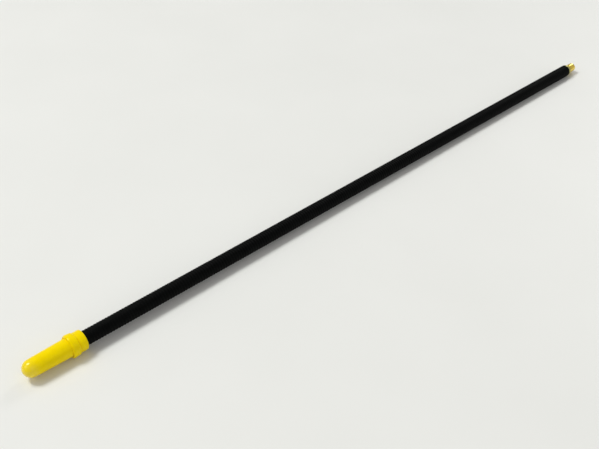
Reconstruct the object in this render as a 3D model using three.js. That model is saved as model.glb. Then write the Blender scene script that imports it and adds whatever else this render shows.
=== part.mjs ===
// Ribbon wand: a slim rod under a spiral-ribbed sleeve, with a push-on cap at one end and a brass
// swivel stud at the other. Millimetres. The stick's axis is +X, from the cap's tip to the stud's end.
// The origin is on the axis, halfway along the stick. +Z is up when the stick lies on a table.
import * as THREE from 'three';

// Driving dimensions. Every diameter is measured across flats, so a turned solid touches its
// true circle from outside at the middle of each flat.
const SIDES = 24;

// Rod and sleeve
const CORE_DIAMETER = 6.4;
const WINDING_THICKNESS = 0.95;
const SLEEVE_WALL = 0.75;
const SLEEVE_VISIBLE_LENGTH = 524;

// Collar, the ring that closes the sleeve's near end
const COLLAR_WALL = 2.0;
const COLLAR_LENGTH = 5.5;
const COLLAR_WEB_LENGTH = 2.0;
const COLLAR_FRONT_CHAMFER = 0.55;
const COLLAR_EDGE_RADIUS = 0.8;

// Cap, whose walls are measured from its bore
const CAP_LENGTH = 31.6;
const CAP_TIP_WALL = 1.3;
const CAP_ROOT_WALL = 1.75;
const CAP_END_WALL = 2.2;
const CAP_FLANGE_HEIGHT = 1.6;
const CAP_FLANGE_LENGTH = 6.1;
const CAP_FLANGE_FRONT_CHAMFER = 1.2;
const CAP_FLANGE_REAR_CHAMFER = 0.7;
const CAP_TO_COLLAR_GAP = 0.25;

// Plug inside the cap, and the groove for the rubber ring that grips the cap
const PLUG_WALL = 1.2;
const PLUG_END_ROOM = 3.0;
const PLUG_SOLID_END = 8.0;
const PLUG_LEAD_IN = 1.0;
const GROOVE_FROM_END = 3.5;
const GROOVE_DEPTH = 1.15;
const GROOVE_SIDE_PLAY = 0.15;
const SEAL_RING_FACETS = 10;

// Ferrule on the core's far end, and the chamber in it for the swivel
const FERRULE_SOCKET_DEPTH = 18;
const FERRULE_WEB = 2.0;
const CHAMBER_END_ROOM = 1.7;

// Bush that closes the chamber. Its visible end is a short rim, then a taper down to its nose.
const BUSH_RIM_INSET = 0.05;
const BUSH_RIM_LENGTH = 0.7;
const BUSH_TAPER_LENGTH = 2.1;
const BUSH_NOSE_STEP = 0.25;
const BUSH_SPIGOT_LENGTH = 3.6;
const BUSH_SPIGOT_WALL = 1.15;

// Swivel pin, its two washers and the stud on it
const PIN_SHANK_DIAMETER = 4.1;
const PIN_HEAD_LEDGE = 0.95;
const PIN_HEAD_LENGTH = 2.0;
const WASHER_THICKNESS = 0.5;
const INNER_WASHER_WIDTH = 1.0;
const OUTER_WASHER_WIDTH = 1.1;
const STUD_WALL = 1.6;
const STUD_LENGTH = 7.7;
const STUD_END_WALL = 3.3;
const STUD_END_RADIUS = 1.6;
const STUD_REAR_CHAMFER = 0.3;

// Clearances, each measured at right angles to the two faces
const BOND_GAP = 0.05;
const CAP_PLAY = 0.25;
const SPIN_GAP = 0.12;

// Radii, each worked out from the piece inside it
const coreRadius = CORE_DIAMETER / 2;
const coreSocket = coreRadius + BOND_GAP;
const windingInner = coreRadius + BOND_GAP;
const windingOuter = windingInner + WINDING_THICKNESS;
const ferruleOuter = windingOuter;
const sleeveInner = windingOuter + BOND_GAP;
const sleeveOuter = sleeveInner + SLEEVE_WALL;
const collarSocket = sleeveOuter + BOND_GAP;
const collarOuter = collarSocket + COLLAR_WALL;
const plugOuter = coreSocket + PLUG_WALL;
const grooveRadius = plugOuter - GROOVE_DEPTH;
const capBore = plugOuter + CAP_PLAY;
const capTip = capBore + CAP_TIP_WALL;
const capRoot = capBore + CAP_ROOT_WALL;
const capFlange = capRoot + CAP_FLANGE_HEIGHT;
const sealInner = grooveRadius + BOND_GAP;
const sealOuter = capBore - BOND_GAP;
const sealSection = sealOuter - sealInner;
const shankRadius = PIN_SHANK_DIAMETER / 2;
const bushBore = shankRadius + SPIN_GAP;
const headRadius = bushBore + PIN_HEAD_LEDGE;
const spigotRadius = bushBore + BUSH_SPIGOT_WALL;
const chamberRadius = spigotRadius + BOND_GAP;
const rimRadius = sleeveOuter - BUSH_RIM_INSET;
const studSocket = shankRadius + BOND_GAP;
const studRadius = studSocket + STUD_WALL;
const noseRadius = studRadius + BUSH_NOSE_STEP;

// Stations along the stick, counted from the cap's tip
const capMouth = CAP_LENGTH + CAP_FLANGE_LENGTH;
const collarFront = capMouth + CAP_TO_COLLAR_GAP;
const collarWebRear = collarFront + COLLAR_WEB_LENGTH;
const collarRear = collarFront + COLLAR_LENGTH;
const plugFront = CAP_END_WALL + capBore + PLUG_END_ROOM;
const grooveFront = plugFront + GROOVE_FROM_END;
const grooveRear = grooveFront + sealSection + 2 * GROOVE_SIDE_PLAY;
const plugSocketFront = plugFront + PLUG_SOLID_END;
const plugRear = collarWebRear;
const coreFront = plugSocketFront + BOND_GAP;
const sleeveFront = collarWebRear + BOND_GAP;
const sleeveRear = collarRear + SLEEVE_VISIBLE_LENGTH;
const ferruleRear = sleeveRear;
const rimFront = sleeveRear + BOND_GAP;
const rimRear = rimFront + BUSH_RIM_LENGTH;
const bushRear = rimRear + BUSH_TAPER_LENGTH;
const spigotFront = rimFront - BUSH_SPIGOT_LENGTH;
const innerWasherFront = spigotFront - SPIN_GAP - WASHER_THICKNESS;
const headRear = innerWasherFront - SPIN_GAP;
const headFront = headRear - PIN_HEAD_LENGTH;
const chamberFront = headFront - CHAMBER_END_ROOM;
const webFront = chamberFront - FERRULE_WEB;
const ferruleFront = webFront - FERRULE_SOCKET_DEPTH;
const coreRear = webFront - BOND_GAP;
const outerWasherFront = bushRear + SPIN_GAP;
const studFront = outerWasherFront + WASHER_THICKNESS + SPIN_GAP;
const studRear = studFront + STUD_LENGTH;
const studSocketEnd = studRear - STUD_END_WALL;
const middle = studRear / 2;

// A solid turned about the X axis. The profile is a list of [station, radius] points that
// starts and ends on the axis, or returns to its first point.
function turned(name, profile, look) {
  const acrossFlats = 1 / Math.cos(Math.PI / SIDES);
  const points = profile.map(([station, radius]) =>
    new THREE.Vector2(radius * acrossFlats, station - middle));
  const geometry = new THREE.LatheGeometry(points, SIDES, Math.PI / SIDES, 2 * Math.PI);
  geometry.rotateZ(-Math.PI / 2);
  const mesh = new THREE.Mesh(geometry, new THREE.MeshStandardMaterial(look));
  mesh.name = name;
  return mesh;
}

// Points of an arc about [station, radius], from one angle to another in degrees.
// 0 degrees points along +X, 90 degrees points away from the axis.
function arc(station, radius, size, from, to, steps) {
  const points = [];
  for (let i = 0; i <= steps; i += 1) {
    const angle = THREE.MathUtils.degToRad(from + (to - from) * i / steps);
    points.push([station + size * Math.cos(angle), radius + size * Math.sin(angle)]);
  }
  return points;
}

// A plain ring or tube between two stations.
function tube(name, front, rear, inner, outer, look) {
  const profile = [[front, inner], [front, outer], [rear, outer], [rear, inner], [front, inner]];
  return turned(name, profile, look);
}

const looks = {
  yellow: { color: 0xf2dc00, roughness: 0.35, metalness: 0 },
  black: { color: 0x101113, roughness: 0.6, metalness: 0 },
  cord: { color: 0x3a3a38, roughness: 0.9, metalness: 0 },
  glassFibre: { color: 0xc9c6a8, roughness: 0.5, metalness: 0 },
  nylon: { color: 0xe8e6dc, roughness: 0.5, metalness: 0 },
  rubber: { color: 0x1a1a1a, roughness: 0.8, metalness: 0 },
  brass: { color: 0xc9a23a, roughness: 0.3, metalness: 1 },
};

function coreRod() {
  const profile = [[coreFront, 0], [coreFront, coreRadius], [coreRear, coreRadius], [coreRear, 0]];
  return turned('core_rod', profile, looks.glassFibre);
}

function spiralWinding() {
  const rear = ferruleFront - BOND_GAP;
  return tube('spiral_winding', sleeveFront, rear, windingInner, windingOuter, looks.cord);
}

function sleeve() {
  return tube('sleeve', sleeveFront, sleeveRear, sleeveInner, sleeveOuter, looks.black);
}

// The collar's rear socket takes the sleeve's end; its front web sits round the plug.
function collar() {
  const web = plugOuter + BOND_GAP;
  const edge = COLLAR_EDGE_RADIUS;
  const profile = [
    [collarFront, web],
    [collarFront, collarOuter - COLLAR_FRONT_CHAMFER],
    [collarFront + COLLAR_FRONT_CHAMFER, collarOuter],
    ...arc(collarRear - edge, collarOuter - edge, edge, 90, 0, 5),
    [collarRear, collarSocket],
    [collarWebRear, collarSocket],
    [collarWebRear, web],
    [collarFront, web],
  ];
  return turned('collar', profile, looks.yellow);
}

// A round-ended, slightly tapered shell with a thick flange round its open end.
function cap() {
  const profile = [
    ...arc(capTip, 0, capTip, 180, 90, 9),
    [CAP_LENGTH, capRoot],
    [CAP_LENGTH, capFlange - CAP_FLANGE_FRONT_CHAMFER],
    [CAP_LENGTH + CAP_FLANGE_FRONT_CHAMFER, capFlange],
    [capMouth - CAP_FLANGE_REAR_CHAMFER, capFlange],
    [capMouth, capFlange - CAP_FLANGE_REAR_CHAMFER],
    [capMouth, capBore],
    ...arc(CAP_END_WALL + capBore, 0, capBore, 90, 180, 6),
  ];
  return turned('cap', profile, looks.yellow);
}

// The plug is bonded on the core. The rubber ring sits in a groove round its solid front end.
function buttPlug() {
  const profile = [
    [plugFront, 0],
    [plugFront, plugOuter - PLUG_LEAD_IN],
    [plugFront + PLUG_LEAD_IN, plugOuter],
    [grooveFront, plugOuter],
    [grooveFront, grooveRadius],
    [grooveRear, grooveRadius],
    [grooveRear, plugOuter],
    [plugRear, plugOuter],
    [plugRear, coreSocket],
    [plugSocketFront, coreSocket],
    [plugSocketFront, 0],
  ];
  return turned('butt_plug', profile, looks.nylon);
}

function capSealRing() {
  const centre = (grooveFront + grooveRear) / 2;
  const radius = (sealInner + sealOuter) / 2;
  const profile = arc(centre, radius, sealSection / 2, 360, 0, SEAL_RING_FACETS);
  profile[SEAL_RING_FACETS] = profile[0];
  return turned('cap_seal_ring', profile, looks.rubber);
}

// The ferrule holds the core in one end and the swivel's head in the other.
function tipFerrule() {
  const profile = [
    [webFront, 0],
    [webFront, coreSocket],
    [ferruleFront, coreSocket],
    [ferruleFront, ferruleOuter],
    [ferruleRear, ferruleOuter],
    [ferruleRear, chamberRadius],
    [chamberFront, chamberRadius],
    [chamberFront, 0],
  ];
  return turned('tip_ferrule', profile, looks.brass);
}

function swivelBush() {
  const profile = [
    [spigotFront, bushBore],
    [spigotFront, spigotRadius],
    [rimFront, spigotRadius],
    [rimFront, rimRadius],
    [rimRear, rimRadius],
    [bushRear, noseRadius],
    [bushRear, bushBore],
    [spigotFront, bushBore],
  ];
  return turned('swivel_bush', profile, looks.brass);
}

function swivelPin() {
  const shankEnd = studSocketEnd - BOND_GAP;
  const profile = [
    [headFront, 0],
    [headFront, headRadius],
    [headRear, headRadius],
    [headRear, shankRadius],
    [shankEnd, shankRadius],
    [shankEnd, 0],
  ];
  return turned('swivel_pin', profile, looks.brass);
}

function thrustWasher(name, front, width) {
  const inner = shankRadius + BOND_GAP;
  return tube(name, front, front + WASHER_THICKNESS, inner, inner + width, looks.nylon);
}

// The stud is pressed on the pin's shank. Its far end is rounded to a small flat.
function tipStud() {
  const round = STUD_END_RADIUS;
  const profile = [
    [studSocketEnd, 0],
    [studSocketEnd, studSocket],
    [studFront, studSocket],
    [studFront, studRadius - STUD_REAR_CHAMFER],
    [studFront + STUD_REAR_CHAMFER, studRadius],
    ...arc(studRear - round, studRadius - round, round, 90, 0, 6),
    [studRear, 0],
  ];
  return turned('tip_stud', profile, looks.brass);
}

// Pieces fixed to the rod.
const stick = new THREE.Group();
stick.add(coreRod(), spiralWinding(), sleeve(), collar(), buttPlug(), capSealRing());
stick.add(tipFerrule(), swivelBush());

// Pieces that turn on the rod's axis.
const swivel = new THREE.Group();
swivel.add(swivelPin(), thrustWasher('thrust_washer_inner', innerWasherFront, INNER_WASHER_WIDTH));
swivel.add(thrustWasher('thrust_washer_outer', outerWasherFront, OUTER_WASHER_WIDTH), tipStud());

// The cap, which pulls off along the axis.
const pullOffCap = new THREE.Group();
pullOffCap.add(cap());

const wand = new THREE.Group();
wand.add(stick, swivel, pullOffCap);
export default wand;
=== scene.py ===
"""Ribbon wand: the looks of its pieces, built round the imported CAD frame. Lengths are in metres.

The stick's axis is X, from the cap's tip to the brass stud's end, and +Z is up.
"""
import math

import bmesh
import bpy
from mathutils import Matrix, Vector


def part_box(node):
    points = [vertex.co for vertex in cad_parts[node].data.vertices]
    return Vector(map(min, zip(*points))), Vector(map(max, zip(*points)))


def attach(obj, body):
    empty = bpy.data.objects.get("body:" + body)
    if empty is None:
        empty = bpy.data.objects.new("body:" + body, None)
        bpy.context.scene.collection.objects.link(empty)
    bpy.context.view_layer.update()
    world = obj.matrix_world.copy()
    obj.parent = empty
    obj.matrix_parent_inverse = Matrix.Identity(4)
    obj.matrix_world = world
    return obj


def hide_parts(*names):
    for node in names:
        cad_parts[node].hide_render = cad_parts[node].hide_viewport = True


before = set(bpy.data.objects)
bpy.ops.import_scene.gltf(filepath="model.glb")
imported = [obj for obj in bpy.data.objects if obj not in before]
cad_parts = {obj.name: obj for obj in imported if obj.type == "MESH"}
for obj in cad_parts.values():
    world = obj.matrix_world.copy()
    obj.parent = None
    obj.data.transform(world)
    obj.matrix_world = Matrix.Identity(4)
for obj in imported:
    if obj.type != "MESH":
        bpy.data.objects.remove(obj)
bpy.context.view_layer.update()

MM = 0.001
SMOOTH_ANGLE = math.radians(32)
FINE_SIDES = 96
ROUNDING_STEPS = 4

# Sizes that the CAD boxes don't give. The cap: a round-nosed shell with a flange at its mouth
CAP_BORE_RADIUS = 4.70 * MM
CAP_TIP_RADIUS = 6.0 * MM
CAP_ROOT_RADIUS = 6.45 * MM
CAP_END_WALL = 2.2 * MM
CAP_STRAIGHT_LENGTH = 6.0 * MM
CAP_STRAIGHT_TAPER = 0.1 * MM
CAP_MOUTH_ROUNDING = 0.3 * MM
CAP_CORNER_ROUNDING = 0.32 * MM
FLANGE_LENGTH = 5.55 * MM
FLANGE_FRONT_CHAMFER = 1.2 * MM
FLANGE_FRONT_DROP = 0.5 * MM
FLANGE_REAR_CHAMFER = 0.7 * MM
FLANGE_REAR_DROP = 0.49 * MM
FLANGE_TAPER = 0.22 * MM
FACE_GROOVE_DEPTH = 0.35 * MM
FACE_GROOVE_WIDTH = 0.3 * MM

# The collar: a ring with a web at its front and a socket for the sleeve at its rear
SEAM_CLOSING = 0.17 * MM
COLLAR_WEB_RADIUS = 4.5 * MM
COLLAR_WEB_LENGTH = 2.0 * MM
COLLAR_SOCKET_RADIUS = 5.05 * MM
COLLAR_FRONT_CHAMFER = 0.55 * MM
COLLAR_CORNER_ROUNDING = 0.3 * MM
COLLAR_REAR_ROUNDING = 0.8 * MM
COLLAR_SOCKET_ROUNDING = 0.2 * MM

# The sleeve and the cord wound under it
SLEEVE_BORE_RADIUS = 4.25 * MM
SLEEVE_END_CUT = 0.3 * MM
SLEEVE_END_ROUNDING = 0.6 * MM
SLEEVE_END_DROP = 0.25 * MM
SOCKET_FIT = 0.05 * MM
RIB_PITCH = 2.18 * MM
RIB_CREST = 0.18 * MM
RIB_VALLEY = -0.08 * MM
CORD_GAP = 0.03 * MM
CORD_SHARE_OF_PITCH = 0.94

# The hole for the core, in the plug and through the winding
CORE_HOLE_RADIUS = 3.25 * MM

# The plug under the cap
PLUG_SOLID_END = 8.0 * MM
PLUG_NOSE_ROUNDING = 0.3 * MM
PLUG_NOSE_DROP = 1.1 * MM
PLUG_NOSE_SHOULDER = 0.95 * MM
PLUG_SHOULDER_DROP = 0.08 * MM
PLUG_NOSE_LENGTH = 1.2 * MM
PLUG_GROOVE_EDGE = 0.12 * MM
PLUG_REAR_EDGE = 0.1 * MM
SEAL_GROOVE_DEPTH = 1.15 * MM
SEAL_GROOVE_PLAY = 0.15 * MM

# The brass end
BUSH_RIM_LENGTH = 1.0 * MM
BUSH_HOOD_RADIUS = 4.25 * MM
BUSH_TAPER_LENGTH = 2.1 * MM
BUSH_NOSE_RADIUS = 3.95 * MM
BUSH_BORE_RADIUS = 2.17 * MM
BUSH_SPIGOT_RADIUS = 3.32 * MM
BUSH_CORNER_ROUNDING = 0.3 * MM
STUD_SOCKET_RADIUS = 2.1 * MM
STUD_END_WALL = 3.3 * MM
STUD_END_ROUNDING = 1.6 * MM
STUD_FRONT_ROUNDING = 0.25 * MM
WASHER_EDGE = 0.08 * MM

# The gloss of the yellow plastic, and the length of the cap's nose that is handled to a shine
YELLOW_COAT = 0.12
POLISHED_NOSE = 9 * MM
POLISH_FADE = 4 * MM

# The camera stands beside the cap; its place is measured from the collar's rear on the axis
CAMERA_OFFSET = (-0.1929, -0.4133, 0.4277)
CAMERA_LENS = 57.1
CAMERA_YAW = math.radians(42.60)
CAMERA_PITCH = math.radians(37.65)

KEY_DIRECTION = (-0.22, 0.43, 0.88)
KEY_COLOUR = (0.985, 1.0, 0.98)


def span(node):
    """Front and rear stations and outer radius of a turned CAD node."""
    low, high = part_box(node)
    return low.x, high.x, (high.y - low.y) / 2


# ---------------------------------------------------------------- meshes

def arc(x, radius, size, start, end, steps):
    """Profile points of an arc about (x, radius); 0 degrees is along +X, 90 degrees is outward."""
    points = []
    for i in range(steps + 1):
        angle = math.radians(start + (end - start) * i / steps)
        points.append((x + size * math.cos(angle), radius + size * math.sin(angle)))
    return points


def rounded(points, size):
    """The inner points of a profile get rounded corners; the first and last points stay."""
    result = [points[0]]
    for before, corner, after in zip(points[:-2], points[1:-1], points[2:]):
        corner = Vector(corner)
        to_before = Vector(before) - corner
        to_after = Vector(after) - corner
        reach = min(size, to_before.length * 0.45, to_after.length * 0.45)
        start = corner + to_before.normalized() * reach
        end = corner + to_after.normalized() * reach
        for i in range(ROUNDING_STEPS + 1):
            t = i / ROUNDING_STEPS
            point = start * (1 - t) ** 2 + corner * 2 * t * (1 - t) + end * t ** 2
            result.append(tuple(point))
    result.append(points[-1])
    return result


def finished(name, build):
    """A smooth-shaded object of a bmesh: cleaned, faces outward, and sharp corners kept sharp."""
    bmesh.ops.remove_doubles(build, verts=build.verts, dist=1e-7)
    bmesh.ops.recalc_face_normals(build, faces=build.faces)
    mesh = bpy.data.meshes.new(name)
    build.to_mesh(mesh)
    build.free()
    for polygon in mesh.polygons:
        polygon.use_smooth = True
    mesh.set_sharp_from_angle(angle=SMOOTH_ANGLE)
    piece = bpy.data.objects.new(name, mesh)
    bpy.context.scene.collection.objects.link(piece)
    return piece


def ring_of(build, x, radius):
    """A circle of vertices about the X axis."""
    ring = []
    for i in range(FINE_SIDES):
        angle = 2 * math.pi * i / FINE_SIDES
        ring.append(build.verts.new((x, radius * math.cos(angle), radius * math.sin(angle))))
    return ring


def revolved(name, profile, closed=False):
    """A solid turned about the X axis from (x, radius) points."""
    build = bmesh.new()
    rings = []
    for x, radius in profile:
        if radius < 1e-9:
            rings.append([build.verts.new((x, 0, 0))])
        else:
            rings.append(ring_of(build, x, radius))
    pairs = list(zip(rings[:-1], rings[1:]))
    if closed:
        pairs.append((rings[-1], rings[0]))
    for a, b in pairs:
        if len(a) == 1 and len(b) == 1:
            continue
        for i in range(FINE_SIDES):
            j = (i + 1) % FINE_SIDES
            corners = [a[i % len(a)], a[j % len(a)], b[j % len(b)], b[i % len(b)]]
            build.faces.new(list(dict.fromkeys(corners)))
    return finished(name, build)


# ---------------------------------------------------------------- materials

def new_material(name):
    """A node material, its node tree and its main shader."""
    material = bpy.data.materials.new(name)
    material.use_nodes = True
    tree = material.node_tree
    shader = tree.nodes["Principled BSDF"]
    return material, tree, shader


def object_point(tree, scale=(1, 1, 1)):
    """Object coordinates, stretched along the axes."""
    source = tree.nodes.new("ShaderNodeTexCoord")
    mapping = tree.nodes.new("ShaderNodeMapping")
    mapping.inputs["Scale"].default_value = scale
    tree.links.new(source.outputs["Object"], mapping.inputs["Vector"])
    return mapping.outputs["Vector"]


def noise(tree, point, scale, detail=3.0, roughness=0.5):
    """Cloudy values about 0.5; the scale is in features per metre."""
    node = tree.nodes.new("ShaderNodeTexNoise")
    node.inputs["Scale"].default_value = scale
    node.inputs["Detail"].default_value = detail
    node.inputs["Roughness"].default_value = roughness
    tree.links.new(point, node.inputs["Vector"])
    return node.outputs["Fac"]


def remap(tree, value, low, high, to_low, to_high):
    """A value's range from low to high becomes the range from to_low to to_high, and no further."""
    node = tree.nodes.new("ShaderNodeMapRange")
    node.inputs["From Min"].default_value = low
    node.inputs["From Max"].default_value = high
    node.inputs["To Min"].default_value = to_low
    node.inputs["To Max"].default_value = to_high
    tree.links.new(value, node.inputs["Value"])
    return node.outputs["Result"]


def mixed(tree, factor, first, second):
    """A colour between two colours."""
    node = tree.nodes.new("ShaderNodeMix")
    node.data_type = "RGBA"
    tree.links.new(factor, node.inputs["Factor"])
    colour_inputs = [i for i in node.inputs if i.type == "RGBA"]
    for socket, value in zip(colour_inputs, (first, second)):
        if hasattr(value, "is_linked"):
            tree.links.new(value, socket)
        else:
            socket.default_value = (*value, 1)
    return [o for o in node.outputs if o.type == "RGBA"][0]


def bump(tree, shader, height, strength, distance):
    """Surface relief from a height value; the distance is its depth in metres."""
    node = tree.nodes.new("ShaderNodeBump")
    node.inputs["Strength"].default_value = strength
    node.inputs["Distance"].default_value = distance
    tree.links.new(height, node.inputs["Height"])
    tree.links.new(node.outputs["Normal"], shader.inputs["Normal"])


def yellow_plastic(name, dent_depth, polished_to=None):
    """Moulded plastic with shallow dents. In front of a station, polished_to, it may be glossier."""
    material, tree, shader = new_material(name)
    point = object_point(tree)
    cloud = noise(tree, point, 260, 3)
    patches = remap(tree, cloud, 0.35, 0.65, 0, 1)
    colour = mixed(tree, patches, (0.915, 0.685, 0.0), (0.955, 0.73, 0.0))
    tree.links.new(colour, shader.inputs["Base Color"])
    rough = remap(tree, noise(tree, point, 900, 4, 0.6), 0.3, 0.7, 0.28, 0.38)
    tree.links.new(rough, shader.inputs["Roughness"])
    shader.inputs["Specular IOR Level"].default_value = 0.12
    shader.inputs["Specular Tint"].default_value = (1.0, 0.9, 0.1, 1)
    shader.inputs["Coat Weight"].default_value = YELLOW_COAT
    shader.inputs["Coat Roughness"].default_value = 0.06
    if polished_to is not None:
        split = tree.nodes.new("ShaderNodeSeparateXYZ")
        tree.links.new(point, split.inputs["Vector"])
        start = polished_to - POLISH_FADE
        polish = remap(tree, split.outputs["X"], start, polished_to, 1.0, YELLOW_COAT)
        tree.links.new(polish, shader.inputs["Coat Weight"])
    bump(tree, shader, noise(tree, point, 560, 3, 0.45), 1.0, dent_depth)
    return material


def black_sleeve():
    """Satin black plastic with pale flecks of dust and wear."""
    material, tree, shader = new_material("black_sleeve")
    point = object_point(tree)
    cloud = noise(tree, object_point(tree, (0.3, 1, 1)), 420, 4)
    patches = remap(tree, cloud, 0.35, 0.7, 0, 1)
    colour = mixed(tree, patches, (0.0006, 0.0008, 0.0008), (0.0018, 0.0022, 0.0021))
    flecks = noise(tree, point, 1500, 1, 0.3)
    colour = mixed(tree, remap(tree, flecks, 0.80, 0.86, 0, 0.5), colour, (0.10, 0.10, 0.09))
    tree.links.new(colour, shader.inputs["Base Color"])
    rough = remap(tree, noise(tree, point, 700, 4, 0.6), 0.3, 0.7, 0.44, 0.60)
    tree.links.new(rough, shader.inputs["Roughness"])
    shader.inputs["Specular IOR Level"].default_value = 0.045
    bump(tree, shader, noise(tree, point, 1800, 3), 0.2, 0.00004)
    return material


def brass(name, clean, stained, roughness, coat):
    """Turned brass with fine rings from the lathe and a little tarnish."""
    material, tree, shader = new_material(name)
    point = object_point(tree)
    stain = noise(tree, point, 330, 4, 0.6)
    colour = mixed(tree, remap(tree, stain, 0.35, 0.7, 0, 1), clean, stained)
    tree.links.new(colour, shader.inputs["Base Color"])
    shader.inputs["Metallic"].default_value = 1.0
    rough = remap(tree, noise(tree, point, 800, 3), 0.3, 0.7, roughness - 0.05, roughness + 0.05)
    tree.links.new(rough, shader.inputs["Roughness"])
    shader.inputs["Coat Weight"].default_value = coat
    shader.inputs["Coat Roughness"].default_value = 0.12
    turning = noise(tree, object_point(tree, (1, 0.02, 0.02)), 5200, 2)
    bump(tree, shader, turning, 0.25, 0.00003)
    return material


def plain_plastic(name, dark, light, roughness, grain_scale, grain_depth):
    """A moulded or drawn plastic with a little colour variation and grain."""
    material, tree, shader = new_material(name)
    point = object_point(tree)
    cloud = noise(tree, point, grain_scale * 0.3, 3)
    colour = mixed(tree, remap(tree, cloud, 0.35, 0.65, 0, 1), dark, light)
    tree.links.new(colour, shader.inputs["Base Color"])
    grain = noise(tree, point, grain_scale, 3)
    rough = remap(tree, grain, 0.3, 0.7, roughness - 0.06, roughness + 0.06)
    tree.links.new(rough, shader.inputs["Roughness"])
    bump(tree, shader, noise(tree, point, grain_scale * 1.5, 2), 0.2, grain_depth)
    return material


def glass_fibre():
    """Pultruded rod with fine streaks along its length."""
    material, tree, shader = new_material("glass_fibre")
    streaks = noise(tree, object_point(tree, (0.02, 1, 1)), 2600, 4, 0.6)
    colour = mixed(tree, remap(tree, streaks, 0.3, 0.7, 0, 1), (0.55, 0.53, 0.38), (0.74, 0.72, 0.58))
    tree.links.new(colour, shader.inputs["Base Color"])
    shader.inputs["Roughness"].default_value = 0.45
    bump(tree, shader, streaks, 0.3, 0.00004)
    return material


materials = {
    "yellow_plastic": yellow_plastic(
        "yellow_plastic", 0.00002, span("cap")[0] + POLISHED_NOSE),
    "yellow_collar": yellow_plastic("yellow_collar", 0.00009),
    "black_sleeve": black_sleeve(),
    "brass": brass("brass", (0.94, 0.70, 0.12), (0.80, 0.57, 0.07), 0.21, 0.5),
    # A darker, greener copy of the brass for the bush: its darkening is painted shade standing in for
    # the dim surroundings the bush reflects.
    "shade_darkened_brass": brass("shade_darkened_brass", (0.60, 0.57, 0.24), (0.42, 0.41, 0.13), 0.42, 0.1),
    "glass_fibre": glass_fibre(),
    "nylon": plain_plastic(
        "nylon", (0.72, 0.70, 0.62), (0.80, 0.78, 0.70), 0.42, 700, 0.00003),
    "black_rubber": plain_plastic(
        "black_rubber", (0.012, 0.012, 0.012), (0.022, 0.022, 0.022), 0.7, 1500, 0.00003),
    "winding_cord": plain_plastic(
        "winding_cord", (0.03, 0.03, 0.03), (0.06, 0.06, 0.058), 0.85, 3000, 0.00008),
}


def dress(piece, body, look, *nodes):
    """Gives a piece its material, puts it on its body and lets it stand for its CAD nodes."""
    piece.data.materials.append(materials[look])
    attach(piece, body)
    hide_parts(*nodes)
    return piece


# ---------------------------------------------------------------- pieces

def make_cap():
    """The round nose, the flange with a small groove in its front face, and the round-ended bore."""
    front, mouth, flange = span("cap")
    root = CAP_ROOT_RADIUS
    root_x = mouth - FLANGE_LENGTH
    profile = arc(front + CAP_TIP_RADIUS, 0, CAP_TIP_RADIUS, 180, 91, 28)
    profile += rounded([
        (root_x - CAP_STRAIGHT_LENGTH, root - CAP_STRAIGHT_TAPER),
        (root_x, root),
        (root_x + FACE_GROOVE_DEPTH, root),
        (root_x + FACE_GROOVE_DEPTH, root + FACE_GROOVE_WIDTH),
        (root_x, root + FACE_GROOVE_WIDTH),
        (root_x, flange - FLANGE_FRONT_DROP),
        (root_x + FLANGE_FRONT_CHAMFER, flange),
        (mouth - FLANGE_REAR_CHAMFER, flange - FLANGE_TAPER),
        (mouth, flange - FLANGE_TAPER - FLANGE_REAR_DROP),
        (mouth, CAP_BORE_RADIUS + CAP_MOUTH_ROUNDING),
    ], CAP_CORNER_ROUNDING)
    edge = CAP_MOUTH_ROUNDING
    profile += arc(mouth - edge, CAP_BORE_RADIUS + edge, edge, 360, 270, 4)
    profile += arc(front + CAP_END_WALL + CAP_BORE_RADIUS, 0, CAP_BORE_RADIUS, 90, 180, 16)
    return dress(revolved("cap_shell", profile), "cap", "yellow_plastic", "cap")


def make_collar():
    """Its front face is moved forward so that the seam to the cap's flange is a fine line."""
    cad_front, rear, outer = span("collar")
    web_rear = cad_front + COLLAR_WEB_LENGTH
    front = cad_front - SEAM_CLOSING
    profile = [(front, COLLAR_WEB_RADIUS)]
    profile += rounded([
        (front, COLLAR_WEB_RADIUS + 1 * MM),
        (front, outer - COLLAR_FRONT_CHAMFER),
        (front + COLLAR_FRONT_CHAMFER, outer),
        (rear - 2 * MM, outer),
    ], COLLAR_CORNER_ROUNDING)
    edge = COLLAR_REAR_ROUNDING
    profile += arc(rear - edge, outer - edge, edge, 90, 0, 8)
    edge = COLLAR_SOCKET_ROUNDING
    profile += arc(rear - edge, COLLAR_SOCKET_RADIUS + edge, edge, 360, 270, 3)
    profile += [(web_rear, COLLAR_SOCKET_RADIUS), (web_rear, COLLAR_WEB_RADIUS)]
    piece = revolved("collar_ring", profile, closed=True)
    return dress(piece, "stick", "yellow_collar", "collar")


def rib_height(x, angle):
    """Height of the sleeve's right-handed spiral rib, from 0 in the valley to 1 on the crest."""
    phase = 2 * math.pi * x / RIB_PITCH - angle
    return (0.5 + 0.5 * math.cos(phase)) ** 0.75


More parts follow.
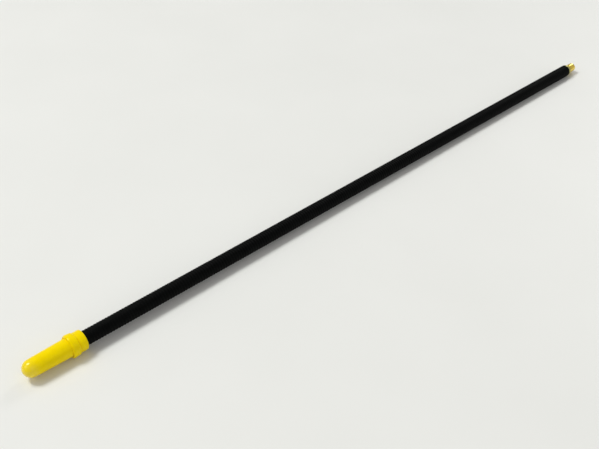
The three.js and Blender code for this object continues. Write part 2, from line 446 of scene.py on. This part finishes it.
def make_sleeve():
    """A tube with the spiral rib, plain where it sits in the collar and rounded at its far end."""
    front, cad_rear, wall = span("sleeve")
    rear = cad_rear - SLEEVE_END_CUT
    socket_margin = 0.6 * MM
    socket_end = span("collar")[1] - socket_margin
    sides = 40
    rows_per_rib = 7
    rows = int((rear - front) / RIB_PITCH * rows_per_rib)
    build = bmesh.new()
    outer = []
    for i in range(rows + 1):
        x = front + (rear - front) * i / rows
        shrink = max(0.0, 1 - (rear - x) / SLEEVE_END_ROUNDING) ** 2 * SLEEVE_END_DROP
        ring = []
        for j in range(sides):
            angle = 2 * math.pi * j / sides
            rib = RIB_VALLEY + (RIB_CREST - RIB_VALLEY) * rib_height(x, angle)
            if x < socket_end:
                rib = -SOCKET_FIT
            radius = wall + rib - shrink
            ring.append(build.verts.new((x, radius * math.cos(angle), radius * math.sin(angle))))
        outer.append(ring)
    bores = []
    for x in (rear, front):
        ring = []
        for j in range(sides):
            angle = 2 * math.pi * j / sides
            y = SLEEVE_BORE_RADIUS * math.cos(angle)
            z = SLEEVE_BORE_RADIUS * math.sin(angle)
            ring.append(build.verts.new((x, y, z)))
        bores.append(ring)
    rings = outer + bores + [outer[0]]
    for a, b in zip(rings[:-1], rings[1:]):
        for j in range(sides):
            k = (j + 1) % sides
            build.faces.new((a[j], a[k], b[k], b[j]))
    piece = finished("ribbed_sleeve", build)
    return dress(piece, "stick", "black_sleeve", "sleeve")


def make_winding():
    """A cord wound on the core, one turn against the next. Its crests lie under the sleeve's ribs."""
    low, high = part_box("spiral_winding")
    outer = (high.y - low.y) / 2
    inner = CORE_HOLE_RADIUS
    centre = (outer + inner) / 2
    half_thick = (outer - inner) / 2 - CORD_GAP
    half_wide = RIB_PITCH * CORD_SHARE_OF_PITCH / 2
    steps_per_turn = 24
    section_sides = 6
    first = math.ceil((low.x + half_wide) / RIB_PITCH * steps_per_turn)
    last = math.floor((high.x - half_wide) / RIB_PITCH * steps_per_turn)
    build = bmesh.new()
    rings = []
    for i in range(first, last + 1):
        angle = 2 * math.pi * i / steps_per_turn
        x = RIB_PITCH * i / steps_per_turn
        ring = []
        for j in range(section_sides):
            around = 2 * math.pi * j / section_sides
            radius = centre + half_thick * math.sin(around)
            along = x + half_wide * math.cos(around)
            y = radius * math.cos(angle)
            ring.append(build.verts.new((along, y, radius * math.sin(angle))))
        rings.append(ring)
    for a, b in zip(rings[:-1], rings[1:]):
        for j in range(section_sides):
            k = (j + 1) % section_sides
            build.faces.new((a[j], a[k], b[k], b[j]))
    build.faces.new(rings[0])
    build.faces.new(rings[-1])
    piece = finished("cord_winding", build)
    return dress(piece, "stick", "winding_cord", "spiral_winding")


def make_plug():
    """The plug that the cap slides on, with a groove for the seal ring and a socket for the core."""
    front, rear, outer = span("butt_plug")
    ring_low, ring_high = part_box("cap_seal_ring")
    groove_front = ring_low.x - SEAL_GROOVE_PLAY
    groove_rear = ring_high.x + SEAL_GROOVE_PLAY
    groove = outer - SEAL_GROOVE_DEPTH
    socket_x = front + PLUG_SOLID_END
    nose = PLUG_NOSE_ROUNDING
    profile = [(front, 0)]
    profile += arc(front + nose, outer - PLUG_NOSE_DROP, nose, 180, 135, 2)
    profile += [
        (front + PLUG_NOSE_SHOULDER, outer - PLUG_SHOULDER_DROP),
        (front + PLUG_NOSE_LENGTH, outer),
        (groove_front - PLUG_GROOVE_EDGE, outer),
        (groove_front, outer - PLUG_GROOVE_EDGE),
        (groove_front, groove),
        (groove_rear, groove),
        (groove_rear, outer - PLUG_GROOVE_EDGE),
        (groove_rear + PLUG_GROOVE_EDGE, outer),
        (rear - PLUG_REAR_EDGE, outer),
        (rear, outer - PLUG_REAR_EDGE),
        (rear, CORE_HOLE_RADIUS),
        (socket_x, CORE_HOLE_RADIUS),
        (socket_x, 0),
    ]
    return dress(revolved("butt_plug_body", profile), "stick", "nylon", "butt_plug")


def make_seal_ring():
    """A ring of round section, as wide as the CAD ring and flush with its outside."""
    low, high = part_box("cap_seal_ring")
    section = (high.x - low.x) / 2
    centre_r = high.y - section
    centre_x = (low.x + high.x) / 2
    profile = arc(centre_x, centre_r, section, 0, 360, 20)[:-1]
    piece = revolved("seal_ring", profile, closed=True)
    return dress(piece, "stick", "black_rubber", "cap_seal_ring")


def make_bush():
    """The spigot in the ferrule, the rim that covers the ferrule's end, and the taper to the stud."""
    front, rear, outer = span("swivel_bush")
    rim_front = rear - BUSH_RIM_LENGTH - BUSH_TAPER_LENGTH
    clearance = 0.03 * MM
    ferrule_end = span("tip_ferrule")[1] + clearance
    profile = [(front, BUSH_BORE_RADIUS)]
    profile += rounded([
        (front, BUSH_SPIGOT_RADIUS - 0.5 * MM),
        (front, BUSH_SPIGOT_RADIUS),
        (ferrule_end, BUSH_SPIGOT_RADIUS),
        (ferrule_end, BUSH_HOOD_RADIUS),
        (rim_front, BUSH_HOOD_RADIUS),
        (rim_front, outer),
        (rear - BUSH_TAPER_LENGTH, outer),
        (rear, BUSH_NOSE_RADIUS),
        (rear, BUSH_BORE_RADIUS),
        (rear - 1 * MM, BUSH_BORE_RADIUS),
    ], BUSH_CORNER_ROUNDING)
    piece = revolved("bush_ring", profile, closed=True)
    # The bush takes the darkened brass copy, whose darkness is painted shade.
    return dress(piece, "stick", "shade_darkened_brass", "swivel_bush")


def make_stud():
    """The round-ended stud, with a socket for the swivel pin."""
    front, rear, outer = span("tip_stud")
    socket_end = rear - STUD_END_WALL
    profile = [(socket_end, 0), (socket_end, STUD_SOCKET_RADIUS), (front, STUD_SOCKET_RADIUS)]
    edge = STUD_FRONT_ROUNDING
    profile += arc(front + edge, outer - edge, edge, 180, 90, 4)
    edge = STUD_END_ROUNDING
    profile += arc(rear - edge, outer - edge, edge, 90, 0, 14)
    profile += [(rear, 0)]
    return dress(revolved("stud_body", profile), "swivel", "brass", "tip_stud")


def make_washer(name, node, bore):
    """A flat washer with softened outer edges."""
    front, rear, outer = span(node)
    profile = [(front, bore), (front, outer - WASHER_EDGE), (front + WASHER_EDGE, outer)]
    profile += [(rear - WASHER_EDGE, outer), (rear, outer - WASHER_EDGE), (rear, bore)]
    return dress(revolved(name, profile, closed=True), "swivel", "nylon", node)


def dress_kept_nodes():
    """CAD nodes whose own shape is right only get their material."""
    kept = {"core_rod": "glass_fibre", "tip_ferrule": "brass", "swivel_pin": "brass"}
    for node, look in kept.items():
        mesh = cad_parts[node].data
        mesh.materials.clear()
        mesh.materials.append(materials[look])


make_cap()
make_collar()
make_sleeve()
make_winding()
make_plug()
make_seal_ring()
make_bush()
make_stud()
make_washer("inner_washer", "thrust_washer_inner", STUD_SOCKET_RADIUS)
make_washer("outer_washer", "thrust_washer_outer", STUD_SOCKET_RADIUS)
dress_kept_nodes()


# ---------------------------------------------------------------- floor, light and camera

def make_floor():
    """The table under the stick. It touches the cap's flange and the sleeve's far end."""
    _, mouth, flange = span("cap")
    _, far, far_radius = span("sleeve")
    contact = 0.4 * MM
    near = Vector((mouth - contact, 0, -flange))
    slope = (flange - far_radius) / (far - near.x)
    reach = 3.0
    corners = []
    for x, y in ((-reach, -reach), (reach, -reach), (reach, reach), (-reach, reach)):
        corners.append((x, y, near.z + slope * (x - near.x)))
    mesh = bpy.data.meshes.new("table")
    mesh.from_pydata(corners, [], [(0, 1, 2, 3)])
    floor = bpy.data.objects.new("table", mesh)
    bpy.context.scene.collection.objects.link(floor)
    material, tree, shader = new_material("table_top")
    patches = remap(tree, noise(tree, object_point(tree), 9, 3), 0.3, 0.7, 0, 1)
    colour = mixed(tree, patches, (0.80, 0.803, 0.775), (0.82, 0.822, 0.795))
    tree.links.new(colour, shader.inputs["Base Color"])
    shader.inputs["Roughness"].default_value = 0.45
    shader.inputs["Specular IOR Level"].default_value = 0.3
    mesh.materials.append(material)


def soft_light(name, station, towards, distance, spread, share, colour=(1, 1, 1)):
    """A soft light seen from the axis at a station; spread is its angle along and across the stick.

    The share is the part of a white floor's full brightness that this light gives by itself.
    """
    direction = Vector(towards).normalized()
    along = Vector((1, 0, 0))
    along = (along - direction * along.dot(direction)).normalized()
    across = direction.cross(along)
    light = bpy.data.lights.new(name, "AREA")
    light.shape = "ELLIPSE"
    light.size = 2 * distance * math.tan(math.radians(spread[0] / 2))
    light.size_y = 2 * distance * math.tan(math.radians(spread[1] / 2))
    light.energy = share * (math.pi * distance) ** 2 / direction.z
    light.color = colour
    holder = bpy.data.objects.new(name, light)
    holder.location = Vector((station, 0, 0)) + direction * distance
    holder.rotation_euler = Matrix((along, across, direction)).transposed().to_euler()
    bpy.context.scene.collection.objects.link(holder)


def make_lights():
    """Lights behind the stick and past the cap's tip, a fill in front, and two past the stud."""
    near = span("cap")[0]
    far = span("tip_stud")[1]
    soft_light("key", near, KEY_DIRECTION, 4.2, (24, 26), 0.20, KEY_COLOUR)
    soft_light("key_core", near, KEY_DIRECTION, 4.2, (16, 16), 0.315, KEY_COLOUR)
    soft_light("high_end", near, (-0.66, 0.34, 0.67), 5.0, (44, 36), 0.08)
    soft_light("wide_end", near, (-0.80, -0.10, 0.59), 4.0, (60, 60), 0.02)
    soft_light("front_fill", near, (-0.05, -0.86, 0.50), 4.0, (60, 60), 0.07)
    soft_light("far_rim", far, (0.773, 0.28, 0.57), 3.0, (14, 14), 0.08)
    soft_light("far_fill", far, (0.77, -0.44, 0.46), 3.0, (60, 60), 0.03)
    world = bpy.data.worlds.new("surround")
    world.use_nodes = True
    background = world.node_tree.nodes["Background"]
    background.inputs["Color"].default_value = (1.0, 0.985, 0.975, 1)
    background.inputs["Strength"].default_value = 0.345
    bpy.context.scene.world = world


def make_camera():
    """The camera looks down along the stick from beside the cap."""
    camera = bpy.data.cameras.new("camera")
    camera.sensor_width = 36.0
    camera.lens = CAMERA_LENS
    camera.clip_start = 0.01
    camera.clip_end = 20
    holder = bpy.data.objects.new("camera", camera)
    holder.location = Vector((span("collar")[1], 0, 0)) + Vector(CAMERA_OFFSET)
    holder.rotation_euler = (math.pi / 2 - CAMERA_PITCH, 0, -CAMERA_YAW)
    bpy.context.scene.collection.objects.link(holder)
    bpy.context.scene.camera = holder


make_floor()
make_lights()
make_camera()
bpy.context.scene.view_settings.view_transform = "Standard"
